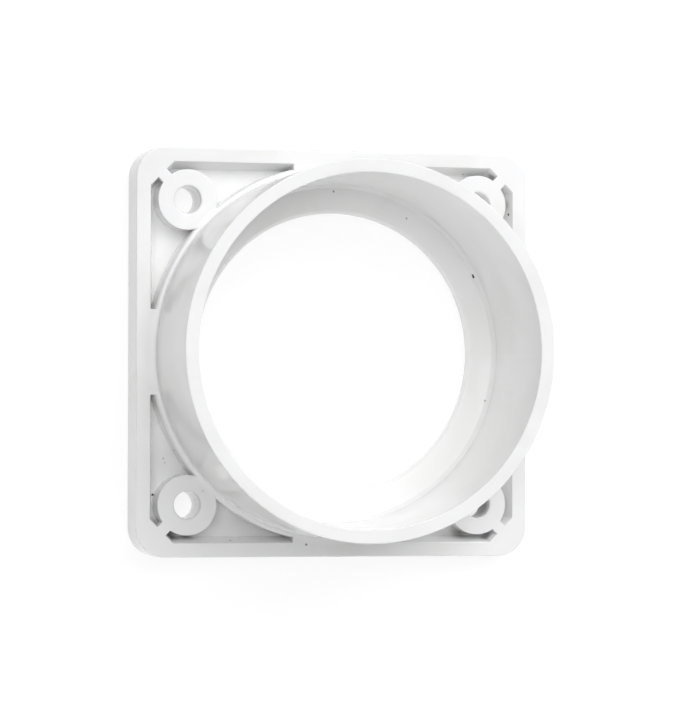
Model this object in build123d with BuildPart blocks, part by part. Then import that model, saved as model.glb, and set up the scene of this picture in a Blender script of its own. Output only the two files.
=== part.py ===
"""Vacuum flange: a square mounting plate with a tapered hose socket, moulded in one piece.

All sizes are in millimetres. The origin is at the middle of the plate's back face, and the
socket opens along +Z.
"""

from build123d import *
import math
import os

# Mounting plate
plate_side = 76.2
plate_thickness = 6.5
plate_corner_radius = 5.6
rim_width = 2.65

# Pockets that core out the plate behind the rim, one at each corner
pocket_depth = 4.0
pocket_draft = 17.0
pocket_chamfer = 4.5
web_width = 15.9

# Screw bosses, each tied to its corner of the rim by a rib that runs a little way into it
screw_spacing = 56.7
screw_hole_diameter = 5.1
boss_diameter = 11.3
rib_width = 2.2
rib_overlap = 1.0

# Collar that takes the hose, wider at its mouth
collar_height = 24.6
mouth_diameter = 65.2
wall_thickness = 2.5
socket_taper = 2.0
seat_rise = 0.4
seat_chamfer = 0.7
foot_chamfer = 0.25
hub_diameter = 70.7
hub_edge_radius = 0.6

# Ledge at the bottom of the socket, which stops the hose and falls a little to the throat
throat_diameter = 52.6
ledge_thickness = 1.5
ledge_fall = 0.5
throat_chamfer = 0.6
recess_draft = 1.0

# Small break on the outer edges of the plate and round the mouth
edge_break = 0.1

# Heights up from the back face, and radii, that follow from the sizes above
mouth_level = plate_thickness + collar_height
seat_level = plate_thickness + seat_rise
throat_level = seat_level - ledge_fall
ledge_level = seat_level - ledge_thickness
socket_depth = mouth_level - seat_level
mouth_radius = mouth_diameter / 2
hub_radius = hub_diameter / 2
throat_radius = throat_diameter / 2
rim_inside = plate_side - 2 * rim_width


def taper_run(height, degrees):
    """How far a face that leans by this angle moves sideways over a height."""
    return height * math.tan(math.radians(degrees))


def corner(section, radius, level):
    """The corner of a section that stands at this radius and this height."""
    return section.vertices().sort_by_distance((radius, level))[0]


# The socket narrows towards its seat, and its wall keeps one thickness all the way down
seat_radius = mouth_radius - taper_run(socket_depth, socket_taper)
foot_radius = mouth_radius + wall_thickness - taper_run(collar_height, socket_taper)

# The space behind the ledge opens slightly towards the back
recess_back_radius = hub_radius - wall_thickness
recess_ledge_radius = recess_back_radius - taper_run(ledge_level, recess_draft)

# The ribs run from the middle of each boss to the chamfer across the corner of the pocket
boss_reach = screw_spacing / math.sqrt(2)
corner_reach = (rim_inside - pocket_chamfer) / math.sqrt(2)
rib_length = corner_reach + rib_overlap - boss_reach

with BuildPart() as flange:
    # Plate
    with BuildSketch(Plane.XY):
        RectangleRounded(plate_side, plate_side, plate_corner_radius)
    extrude(amount=plate_thickness)

    # Front and back edges of the plate, broken all round
    chamfer(flange.faces().sort_by(Axis.Z)[-1].outer_wire().edges(), length=edge_break)
    chamfer(flange.faces().sort_by(Axis.Z)[0].outer_wire().edges(), length=edge_break)

    # One well inside the rim, with leaning sides and its corners cut across
    with BuildSketch(Plane.XY.offset(plate_thickness)) as well:
        Rectangle(rim_inside, rim_inside)
        chamfer(well.vertices(), length=pocket_chamfer)
    extrude(amount=-pocket_depth, taper=pocket_draft, mode=Mode.SUBTRACT)

    # Webs at the middle of each side, the bosses and their ribs fill the well to the rim's
    # level again, and leave one pocket at each corner
    with BuildSketch(Plane.XY):
        Rectangle(plate_side - rim_width, web_width)
        Rectangle(web_width, plate_side - rim_width)
        with GridLocations(screw_spacing, screw_spacing, 2, 2):
            Circle(boss_diameter / 2)
        with PolarLocations(boss_reach + rib_length / 2, 4, start_angle=45):
            Rectangle(rib_length, rib_width)
    extrude(amount=plate_thickness)

    # Outside of the hub and collar, as one section turned about the axis
    with BuildSketch(Plane.XZ) as outside:
        with BuildLine():
            Polyline(
                (0, 0),
                (hub_radius, 0),
                (hub_radius, plate_thickness),
                (foot_radius, plate_thickness),
                (mouth_radius + wall_thickness, mouth_level),
                (0, mouth_level),
                close=True,
            )
        make_face()
        chamfer(corner(outside, foot_radius, plate_thickness), length=foot_chamfer)
        fillet(corner(outside, hub_radius, plate_thickness), radius=hub_edge_radius)
    revolve(axis=Axis.Z)

    # Socket, throat and the space behind the ledge, as one section cut round the axis
    with BuildSketch(Plane.XZ) as inside:
        with BuildLine():
            Polyline(
                (0, 0),
                (recess_back_radius, 0),
                (recess_ledge_radius, ledge_level),
                (throat_radius, ledge_level),
                (throat_radius, throat_level),
                (seat_radius, seat_level),
                (mouth_radius, mouth_level),
                (0, mouth_level),
                close=True,
            )
        make_face()
        chamfer(corner(inside, throat_radius, throat_level), length=throat_chamfer)
        chamfer(corner(inside, seat_radius, seat_level), length=seat_chamfer)
    revolve(axis=Axis.Z, mode=Mode.SUBTRACT)

    # Edges of the mouth, broken inside and out
    chamfer(flange.edges().group_by(Axis.Z)[-1], length=edge_break)

    # Screw holes, straight through the bosses
    with Locations((0, 0, plate_thickness)):
        with GridLocations(screw_spacing, screw_spacing, 2, 2):
            Hole(screw_hole_diameter / 2, depth=plate_thickness)

os.makedirs("parts", exist_ok=True)
flange.part.label = "flange"
export_step(flange.part, "parts/flange.step")
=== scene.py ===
import bmesh
import bpy
import math
from mathutils import Matrix, Vector

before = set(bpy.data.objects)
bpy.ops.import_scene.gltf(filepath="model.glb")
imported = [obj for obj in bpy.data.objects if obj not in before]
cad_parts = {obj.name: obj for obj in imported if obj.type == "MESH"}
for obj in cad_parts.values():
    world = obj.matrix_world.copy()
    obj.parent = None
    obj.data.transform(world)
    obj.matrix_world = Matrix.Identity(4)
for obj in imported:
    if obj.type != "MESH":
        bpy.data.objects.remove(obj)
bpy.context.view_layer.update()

mm = 0.001


# sRGB hex to the linear values that a shader takes
def linearColour(hexText):
    parts = [int(hexText[i:i + 2], 16) / 255 for i in (1, 3, 5)]
    linear = [c / 12.92 if c <= 0.04045 else ((c + 0.055) / 1.055) ** 2.4 for c in parts]
    return (*linear, 1.0)


# One node with its settings, and its inputs set or linked by name or number
def addNode(tree, kind, settings=None, inputs=None):
    node = tree.nodes.new("ShaderNode" + kind)
    for key, value in (settings or {}).items():
        setattr(node, key, value)
    for key, value in (inputs or {}).items():
        if isinstance(value, bpy.types.NodeSocket):
            tree.links.new(value, node.inputs[key])
        else:
            node.inputs[key].default_value = value
    return node


# Camera, where the photograph was taken from
photoCamera = {
    "place": (-217.93, -16.74, 734.31),   # mm, in the part's frame
    "aim": (3.266, -0.692, 0.0),          # mm, what the middle of the picture shows
    "roll": 0.137,                        # degrees
    "lens": 203.71,                       # mm
    "sensor": 36,                         # mm, along the picture's long side
    "nearest": 0.05,                      # m, what is nearer isn't drawn
    "farthest": 20,                       # m
}


def makeCamera(spec):
    data = bpy.data.cameras.new("photoCamera")
    data.lens = spec["lens"]
    data.sensor_width = spec["sensor"]
    data.clip_start = spec["nearest"]
    data.clip_end = spec["farthest"]
    camera = bpy.data.objects.new("photoCamera", data)
    bpy.context.scene.collection.objects.link(camera)
    place = Vector(spec["place"]) * mm
    back = (place - Vector(spec["aim"]) * mm).normalized()
    right = Vector((0, 1, 0)).cross(back).normalized()
    up = back.cross(right)
    turn = Matrix((right, up, back)).transposed().to_4x4()
    roll = Matrix.Rotation(math.radians(spec["roll"]), 4, "Z")
    camera.matrix_world = Matrix.Translation(place) @ turn @ roll
    bpy.context.scene.camera = camera


makeCamera(photoCamera)
print("camera set")

# Studio: a pale table lit from below, six soft boxes and a dim room. The table is opal
# acrylic, cast with a matt face. It gives the eye an even white with hardly any gloss.
studio = {
    "tableSize": 8.0,                     # m
    "tableColour": "#898989",
    "tableRoughness": 0.9,
    "tableGloss": 0.1,
    "tableLight": "#ffffff",              # from below, so that the holes look white
    "tableGlow": 0.78,
    "tableEdgeGlow": 0.25,                # where the light under it has faded
    "glowFades": (0.08, 0.22),            # m from the middle, where the fading starts and ends
    "roomColour": "#ffffff",
    "roomStrength": 0.05,
    "lampColour": "#fefeff",
    "lampDistance": 1.2,                  # m from the part
    "lampSize": 1.0,                      # m across
    # Azimuth and elevation in degrees, and power in W
    "lamps": {
        "keyBox": {"azimuth": 60, "elevation": 50, "power": 8.0},
        "topBox": {"azimuth": 133, "elevation": 69, "power": 6.8},
        "leftBox": {"azimuth": 210, "elevation": 62, "power": 1.9},
        "lowBox": {"azimuth": 270, "elevation": 20, "power": 2.7},
        "rightBox": {"azimuth": 300, "elevation": 20, "power": 4.3},
        "farBox": {"azimuth": 30, "elevation": 20, "power": 2.5},
    },
}


def makeTable(spec):
    mesh = bpy.data.meshes.new("table")
    shape = bmesh.new()
    bmesh.ops.create_grid(shape, x_segments=1, y_segments=1, size=spec["tableSize"] / 2)
    shape.to_mesh(mesh)
    shape.free()
    table = bpy.data.objects.new("table", mesh)
    bpy.context.scene.collection.objects.link(table)
    material = bpy.data.materials.new("acrylicSheetOpal")
    material.use_nodes = True
    tree = material.node_tree
    shader = tree.nodes["Principled BSDF"]
    shader.inputs["Base Color"].default_value = linearColour(spec["tableColour"])
    shader.inputs["Roughness"].default_value = spec["tableRoughness"]
    shader.inputs["Specular IOR Level"].default_value = spec["tableGloss"]
    shader.inputs["Emission Color"].default_value = linearColour(spec["tableLight"])
    place = addNode(tree, "TexCoord").outputs["Object"]
    away = addNode(tree, "VectorMath", {"operation": "LENGTH"}, {0: place})
    fadeStart, fadeEnd = spec["glowFades"]
    glow = addNode(tree, "MapRange", {"interpolation_type": "SMOOTHSTEP"}, {
        "Value": away.outputs["Value"], "From Min": fadeStart, "From Max": fadeEnd,
        "To Min": spec["tableGlow"], "To Max": spec["tableEdgeGlow"]})
    tree.links.new(glow.outputs["Result"], shader.inputs["Emission Strength"])
    mesh.materials.append(material)


# Unit vector towards a place given by its azimuth and elevation in degrees
def direction(azimuth, elevation):
    az, el = math.radians(azimuth), math.radians(elevation)
    return Vector((math.cos(az) * math.cos(el), math.sin(az) * math.cos(el), math.sin(el)))


def makeLamps(spec):
    for name, lamp in spec["lamps"].items():
        data = bpy.data.lights.new(name, "AREA")
        data.shape = "DISK"
        data.size = spec["lampSize"]
        data.energy = lamp["power"]
        data.color = linearColour(spec["lampColour"])[:3]
        towards = direction(lamp["azimuth"], lamp["elevation"])
        light = bpy.data.objects.new(name, data)
        bpy.context.scene.collection.objects.link(light)
        light.location = towards * spec["lampDistance"]
        light.rotation_mode = "QUATERNION"
        light.rotation_quaternion = towards.to_track_quat("Z", "Y")


def makeRoom(spec):
    world = bpy.data.worlds.new("room")
    bpy.context.scene.world = world
    world.use_nodes = True
    background = world.node_tree.nodes["Background"]
    background.inputs["Color"].default_value = linearColour(spec["roomColour"])
    background.inputs["Strength"].default_value = spec["roomStrength"]


makeTable(studio)
makeLamps(studio)
makeRoom(studio)
bpy.context.scene.view_settings.view_transform = "Standard"
print("studio set")

# ABS, injection moulded in a polished steel mould. It gives the eye a clean gloss that wavers
# slightly where the wall shrank as it cooled, soft rounded edges, light that sinks a little
# into the white, and faint clouds where the melt flowed.
mouldedPlastic = {
    "colour": "#f0f0f0",
    "cloudColour": "#ececeb",
    "cloudSize": 16,              # mm
    "cloudDetail": 3.0,
    "cloudTwist": 0.6,
    "cloudRange": (0.42, 0.66),   # share of the noise where a cloud starts and is full
    "polish": 0.13,               # roughness where the mould was polished best
    "haze": 0.19,                 # roughness where it has been handled
    "handlingSize": 11,           # mm
    "handlingDetail": 5.0,
    "handlingRoughness": 0.62,
    "handlingRange": (0.38, 0.7),
    "waveSize": 7,                # mm, slow waves from shrinking
    "waveDetail": 1.0,
    "waveHeight": 0.008,          # mm
    "grainSize": 0.35,            # mm, what is left of the mould's own surface
    "grainDetail": 2.0,
    "grainHeight": 0.0006,        # mm
    "edgeRounding": 0.3,          # mm
    "edgeSamples": 8,
    # Rings where the edges are softer or crisper, in mm: how far out the ring's centre lies
    # along X and Y, the ring's radius and level, the rounding on it, and how far that is felt
    "softRings": {
        "hubEdge": {"centre": 0, "radius": 35.2, "level": 6.3, "rounding": 0.6, "reach": 1.4},
        "collarFoot": {
            "centre": 0, "radius": 34.3, "level": 6.7, "rounding": 0.03, "reach": 0.8},
        "screwHole": {
            "centre": 28.35, "radius": 2.55, "level": 6.5, "rounding": 0.6, "reach": 1.3},
    },
    "ringCore": 0.4,              # share of the reach where the ring's own rounding holds
    "floorLevel": 2.5,            # mm, the pocket floors
    "floorRounding": 0.02,        # mm
    "floorFades": (0.3, 0.9),     # mm from the floors, where that starts and stops to fade
    "wallStraightening": 1.8,     # degrees, how much straighter the collar's outside mirrors
    "wallFoot": 6.9,              # mm, where that begins
    "wallFootFade": 1,            # mm, over which it begins
    "wallFacing": (0.9, 0.98),    # how squarely outwards a face looks, to count as that wall
    "footLitColour": "#f8f8f8",      # painted light: where the collar meets the webs, a lighter colour for the brightness there
    "footLightRing": {"centre": 0, "radius": 34.35, "level": 6.65, "reach": 1.8},   # mm
    "footLightCore": 0.2,              # share of the reach that is fully painted lighter
    "scatterDepth": 1.1,          # mm
    "scatterTint": (1.0, 0.9, 0.8),
    "scatter": 0.12,
    "ior": 1.54,
    "spotFade": 1.2,              # how far a spot of dirt reaches, as a share of its radius
    # The colour of the painted shade in corners, slots and screw holes
    "paintedShadeColour": "#4f4b45",
    "paintedShadeCore": 0.1,             # share of the radius that is fully dark
    # Painted shade: corners, slots and gaps darkened where shadow falls. Place and radius in
    # mm, and how dark it is.
    "paintedShadeCorners": {
        "slotUpperLeft": {"place": (-33.9, 31.8, 4.6), "radius": 1.4, "dark": 0.6},
        "gapUpperBoss": {"place": (-27.7, 22.0, 3.8), "radius": 0.9, "dark": 0.35},
        "slotLowerLeft": {"place": (-33.4, -31.4, 3.6), "radius": 1.3, "dark": 0.4},
        "slotBottomLeft": {"place": (-30.8, -34.0, 3.2), "radius": 2.0, "dark": 0.7},
        "slotBottomLeftEnd": {"place": (-27.6, -34.3, 2.8), "radius": 1.6, "dark": 0.4},
        "hubLowerBoss": {"place": (-27.7, -22.0, 3.6), "radius": 1.2, "dark": 0.35},
        "wedgeLowerBoss": {"place": (-22.4, -27.3, 4.4), "radius": 0.9, "dark": 0.3},
        "stripBottomRight": {"place": (26.0, -33.6, 2.8), "radius": 2.0, "dark": 0.5},
        "slotBottomRight": {"place": (30.9, -34.4, 4.2), "radius": 1.5, "dark": 0.65},
        "slotTopRight": {"place": (31.8, 33.9, 4.8), "radius": 1.2, "dark": 0.6},
        "slotUpperRight": {"place": (35.0, 28.6, 4.6), "radius": 1.2, "dark": 0.3},
    },
    # Screw holes, painted darker inside and at some edges as shade, as spots on the axis of
    # each hole
    "holeShadeCore": 0.75,             # share of the radius that is fully dark
    "paintedShadeHoles": {
        "upperLeft": {"place": (-28.35, 28.35, 2.4), "radius": 3.1, "dark": 0.22},
        "lowerLeft": {"place": (-28.35, -28.35, 2.4), "radius": 3.1, "dark": 0.12},
        "upperRight": {"place": (28.35, 28.35, 2.4), "radius": 3.1, "dark": 0.42},
        "upperLeftEdge": {"place": (-28.35, 28.35, 6.5), "radius": 2.5, "dark": 0.5},
        "lowerLeftEdge": {"place": (-28.35, -28.35, 6.5), "radius": 2.5, "dark": 0.4},
    },
    "speckAndShadeColour": "#2b2622",
    "speckCore": 0.6,             # share of the radius that is fully dark
    "speckRagged": 0.12,          # mm, how far a speck's edge wanders
    "speckGrain": 0.3,            # mm
    # Grit that the photograph shows, and painted shade in the darkest hole, the lower right
    # one. Place and radius in mm, and how dark it is.
    "specksAndHoleShade": {
        "ledgeTop": {"place": (-0.2, 30.4, 6.8), "radius": 0.2, "dark": 0.7},
        "wallTop": {"place": (6.5, 31.2, 9.1), "radius": 0.25, "dark": 0.3},
        "ledgeTopRight": {"place": (14.2, 25.6, 6.7), "radius": 0.2, "dark": 0.5},
        "seatNickUpper": {"place": (27.3, 15.1, 6.95), "radius": 0.2, "dark": 1.0},
        "seatNickMiddle": {"place": (27.38, 14.85, 6.95), "radius": 0.2, "dark": 1.0},
        "seatNickLower": {"place": (27.45, 14.6, 6.95), "radius": 0.2, "dark": 1.0},
        "seatRight": {"place": (29.8, -8.7, 6.9), "radius": 0.2, "dark": 0.5},
        "bossLowerLeft": {"place": (-25.3, -25.8, 6.5), "radius": 0.3, "dark": 0.12},
        "pocketLowerLeftFaint": {"place": (-31.6, -20.5, 2.5), "radius": 0.2, "dark": 0.25},
        "pocketBottomFaint": {"place": (-17.5, -34.6, 3.6), "radius": 0.2, "dark": 0.3},
        "pocketTopRight": {"place": (26.6, 34.4, 3.1), "radius": 0.2, "dark": 0.8},
        "pocketRight": {"place": (35.0, 26.8, 5.2), "radius": 0.28, "dark": 1.0},
        "hubUpperLeft": {"place": (-32.0, 15.0, 4.5), "radius": 0.2, "dark": 0.35},
        "pocketUpperLeft": {"place": (-33.5, 11.2, 3.0), "radius": 0.2, "dark": 0.6},
        "hubLowerLeft": {"place": (-30.3, -18.2, 4.3), "radius": 0.24, "dark": 0.8},
        "pocketLowerLeft": {"place": (-31.9, -19.7, 2.5), "radius": 0.2, "dark": 0.4},
        "pocketLeftCorner": {"place": (-33.9, -26.5, 2.5), "radius": 0.26, "dark": 1.0},
        "pocketBottom": {"place": (-19.6, -35.0, 5.0), "radius": 0.22, "dark": 0.8},
        "hubBottom": {"place": (-12.4, -33.1, 5.8), "radius": 0.22, "dark": 0.9},
        "rimBottom": {"place": (-5.3, -35.8, 6.5), "radius": 0.24, "dark": 0.7},
        # Painted shade: the lower right hole's wall darkened as if in shadow
        "holeLowerRightShade": {"place": (28.35, -28.35, 2.6), "radius": 4.2, "dark": 1.0},
    },
}


# How dark a surface is from a dictionary of round spots, each fully dark out to one share of
# its radius and gone at another
def addSpots(tree, place, spots, core, fade):
    darkness = 0.0
    for spot in spots.values():
        away = addNode(tree, "VectorMath", {"operation": "DISTANCE"}, {
            0: place, 1: [v * mm for v in spot["place"]]})
        shade = addNode(tree, "MapRange", {"interpolation_type": "SMOOTHSTEP"}, {
            "Value": away.outputs["Value"], "From Min": core * spot["radius"] * mm,
            "From Max": fade * spot["radius"] * mm, "To Min": spot["dark"], "To Max": 0.0})
        darkness = addNode(tree, "Math", {"operation": "MAXIMUM"}, {
            0: shade.outputs["Result"], 1: darkness}).outputs["Value"]
    return darkness


# One value on a ring that lies level, and another one past the ring's reach. The place comes
# folded into one quarter, so that one ring stands for those at all four screws.
def addRing(tree, folded, height, ring, core, onRing, offRing):
    fromCentre = addNode(tree, "VectorMath", {"operation": "SUBTRACT"}, {
        0: folded, 1: (ring["centre"] * mm, ring["centre"] * mm, 0)})
    flat = addNode(tree, "VectorMath", {"operation": "MULTIPLY"}, {
        0: fromCentre.outputs["Vector"], 1: (1, 1, 0)})
    fromAxis = addNode(tree, "VectorMath", {"operation": "LENGTH"}, {0: flat.outputs["Vector"]})
    section = addNode(tree, "CombineXYZ", inputs={
        "X": fromAxis.outputs["Value"], "Z": height})
    away = addNode(tree, "VectorMath", {"operation": "DISTANCE"}, {
        0: section.outputs["Vector"], 1: (ring["radius"] * mm, 0, ring["level"] * mm)})
    return addNode(tree, "MapRange", {"interpolation_type": "SMOOTHSTEP"}, {
        "Value": away.outputs["Value"], "From Min": core * ring["reach"] * mm,
        "From Max": ring["reach"] * mm,
        "To Min": onRing, "To Max": offRing}).outputs["Result"]


def makeMouldedPlastic(spec):
    material = bpy.data.materials.new("absMouldedGloss")
    material.use_nodes = True
    tree = material.node_tree
    shader = tree.nodes["Principled BSDF"]
    place = addNode(tree, "TexCoord").outputs["Object"]
    folded = addNode(tree, "VectorMath", {"operation": "ABSOLUTE"}, {0: place})
    folded = folded.outputs["Vector"]
    height = addNode(tree, "SeparateXYZ", inputs={"Vector": place}).outputs["Z"]

    # Clouds in the white
    clouds = addNode(tree, "TexNoise", inputs={
        "Vector": place, "Scale": 1 / (spec["cloudSize"] * mm),
        "Detail": spec["cloudDetail"], "Distortion": spec["cloudTwist"]})
    cloudStart, cloudFull = spec["cloudRange"]
    cloudy = addNode(tree, "MapRange", {"interpolation_type": "SMOOTHSTEP"}, {
        "Value": clouds.outputs["Fac"], "From Min": cloudStart, "From Max": cloudFull})
    white = addNode(tree, "Mix", {"data_type": "RGBA"}, {
        "Factor": cloudy.outputs["Result"],
        6: linearColour(spec["colour"]), 7: linearColour(spec["cloudColour"])})

    # Painted light: the collar's foot is made lighter in colour to stand in for the brightness
    # there
    onFootLight = addRing(tree, folded, height, spec["footLightRing"], spec["footLightCore"], 1.0, 0.0)
    litFoot = addNode(tree, "Mix", {"data_type": "RGBA"}, {
        "Factor": onFootLight, 6: white.outputs[2], 7: linearColour(spec["footLitColour"])})

    # Painted shade darkening the corners and the screw holes, then the specks of grit and the
    # painted shade of the lower right hole on top, ragged by a little noise
    fade = spec["spotFade"]
    paintedShadeMask = addNode(tree, "Math", {"operation": "MAXIMUM"}, {
        0: addSpots(tree, place, spec["paintedShadeCorners"], spec["paintedShadeCore"], fade),
        1: addSpots(tree, place, spec["paintedShadeHoles"], spec["holeShadeCore"], fade)})
    shadedSurface = addNode(tree, "Mix", {"data_type": "RGBA"}, {
        "Factor": paintedShadeMask.outputs["Value"], 6: litFoot.outputs[2],
        7: linearColour(spec["paintedShadeColour"])})
    rough = addNode(tree, "TexNoise", inputs={
        "Vector": place, "Scale": 1 / (spec["speckGrain"] * mm)})
    centred = addNode(tree, "VectorMath", {"operation": "SUBTRACT"}, {
        0: rough.outputs["Color"], 1: (0.5, 0.5, 0.5)})
    ragged = addNode(tree, "VectorMath", {"operation": "MULTIPLY_ADD"}, {
        0: centred.outputs["Vector"], 1: [2 * spec["speckRagged"] * mm] * 3, 2: place})
    ragged = ragged.outputs["Vector"]
    # Specks of grit, and the painted shade of the lower right hole
    speckedAndShaded = addSpots(tree, ragged, spec["specksAndHoleShade"], spec["speckCore"], fade)
    surface = addNode(tree, "Mix", {"data_type": "RGBA"}, {
        "Factor": speckedAndShaded, 6: shadedSurface.outputs[2], 7: linearColour(spec["speckAndShadeColour"])})

    # Gloss, hazed in patches by handling
    handling = addNode(tree, "TexNoise", inputs={
        "Vector": place, "Scale": 1 / (spec["handlingSize"] * mm),
        "Detail": spec["handlingDetail"], "Roughness": spec["handlingRoughness"]})
    leastHandled, mostHandled = spec["handlingRange"]
    gloss = addNode(tree, "MapRange", inputs={
        "Value": handling.outputs["Fac"], "From Min": leastHandled, "From Max": mostHandled,
        "To Min": spec["polish"], "To Max": spec["haze"]})

    # How soft the edges are here, from the distance to each soft ring
    rounding = spec["edgeRounding"] * mm
    for ring in spec["softRings"].values():
        rounding = addRing(tree, folded, height, ring, spec["ringCore"],
                           ring["rounding"] * mm, rounding)

    # The pocket floors meet their walls crisply
    fromFloor = addNode(tree, "Math", {"operation": "SUBTRACT"}, {
        0: height, 1: spec["floorLevel"] * mm})
    offFloor = addNode(tree, "Math", {"operation": "ABSOLUTE"}, {0: fromFloor.outputs["Value"]})
    floorStart, floorEnd = spec["floorFades"]
    rounding = addNode(tree, "MapRange", {"interpolation_type": "SMOOTHSTEP"}, {
        "Value": offFloor.outputs["Value"],
        "From Min": floorStart * mm, "From Max": floorEnd * mm,
        "To Min": spec["floorRounding"] * mm, "To Max": rounding}).outputs["Result"]
    edges = addNode(tree, "Bevel", {"samples": spec["edgeSamples"]}, {"Radius": rounding})
    edges = edges.outputs["Normal"]

    # The collar's outside, tipped a little more upright above its foot
    outwards = addNode(tree, "VectorMath", {"operation": "MULTIPLY"}, {0: place, 1: (1, 1, 0)})
    radial = addNode(tree, "VectorMath", {"operation": "NORMALIZE"}, {
        0: outwards.outputs["Vector"]})
    facing = addNode(tree, "VectorMath", {"operation": "DOT_PRODUCT"}, {
        0: edges, 1: radial.outputs["Vector"]})
    leastFacing, fullFacing = spec["wallFacing"]
    onWall = addNode(tree, "MapRange", {"interpolation_type": "SMOOTHSTEP"}, {
        "Value": facing.outputs["Value"], "From Min": leastFacing, "From Max": fullFacing})
    wallTop = spec["wallFoot"] + spec["wallFootFade"]
    aboveFoot = addNode(tree, "MapRange", {"interpolation_type": "SMOOTHSTEP"}, {
        "Value": height, "From Min": spec["wallFoot"] * mm, "From Max": wallTop * mm})
    amount = addNode(tree, "Math", {"operation": "MULTIPLY"}, {
        0: onWall.outputs["Result"], 1: aboveFoot.outputs["Result"]})
    lift = addNode(tree, "Math", {"operation": "MULTIPLY"}, {
        0: amount.outputs["Value"], 1: math.tan(math.radians(spec["wallStraightening"]))})
    tip = addNode(tree, "CombineXYZ", inputs={"Z": lift.outputs["Value"]})
    tipped = addNode(tree, "VectorMath", {"operation": "ADD"}, {
        0: edges, 1: tip.outputs["Vector"]})
    upright = addNode(tree, "VectorMath", {"operation": "NORMALIZE"}, {
        0: tipped.outputs["Vector"]})

    # The slow waves, then the fine grain on top of them
    waves = addNode(tree, "TexNoise", inputs={
        "Vector": place, "Scale": 1 / (spec["waveSize"] * mm), "Detail": spec["waveDetail"]})
    wavy = addNode(tree, "Bump", inputs={
        "Height": waves.outputs["Fac"], "Distance": spec["waveHeight"] * mm,
        "Normal": upright.outputs["Vector"]})
    grain = addNode(tree, "TexNoise", inputs={
        "Vector": place, "Scale": 1 / (spec["grainSize"] * mm),
        "Detail": spec["grainDetail"]})
    grainy = addNode(tree, "Bump", inputs={
        "Height": grain.outputs["Fac"], "Distance": spec["grainHeight"] * mm,
        "Normal": wavy.outputs["Normal"]})

    tree.links.new(surface.outputs[2], shader.inputs["Base Color"])
    tree.links.new(gloss.outputs["Result"], shader.inputs["Roughness"])
    tree.links.new(grainy.outputs["Normal"], shader.inputs["Normal"])
    shader.inputs["IOR"].default_value = spec["ior"]
    shader.inputs["Subsurface Weight"].default_value = spec["scatter"]
    shader.inputs["Subsurface Scale"].default_value = spec["scatterDepth"] * mm
    shader.inputs["Subsurface Radius"].default_value = spec["scatterTint"]
    return material


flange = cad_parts["flange"]
plastic = makeMouldedPlastic(mouldedPlastic)
for slot in flange.material_slots:
    slot.material = plastic
print("plastic set")
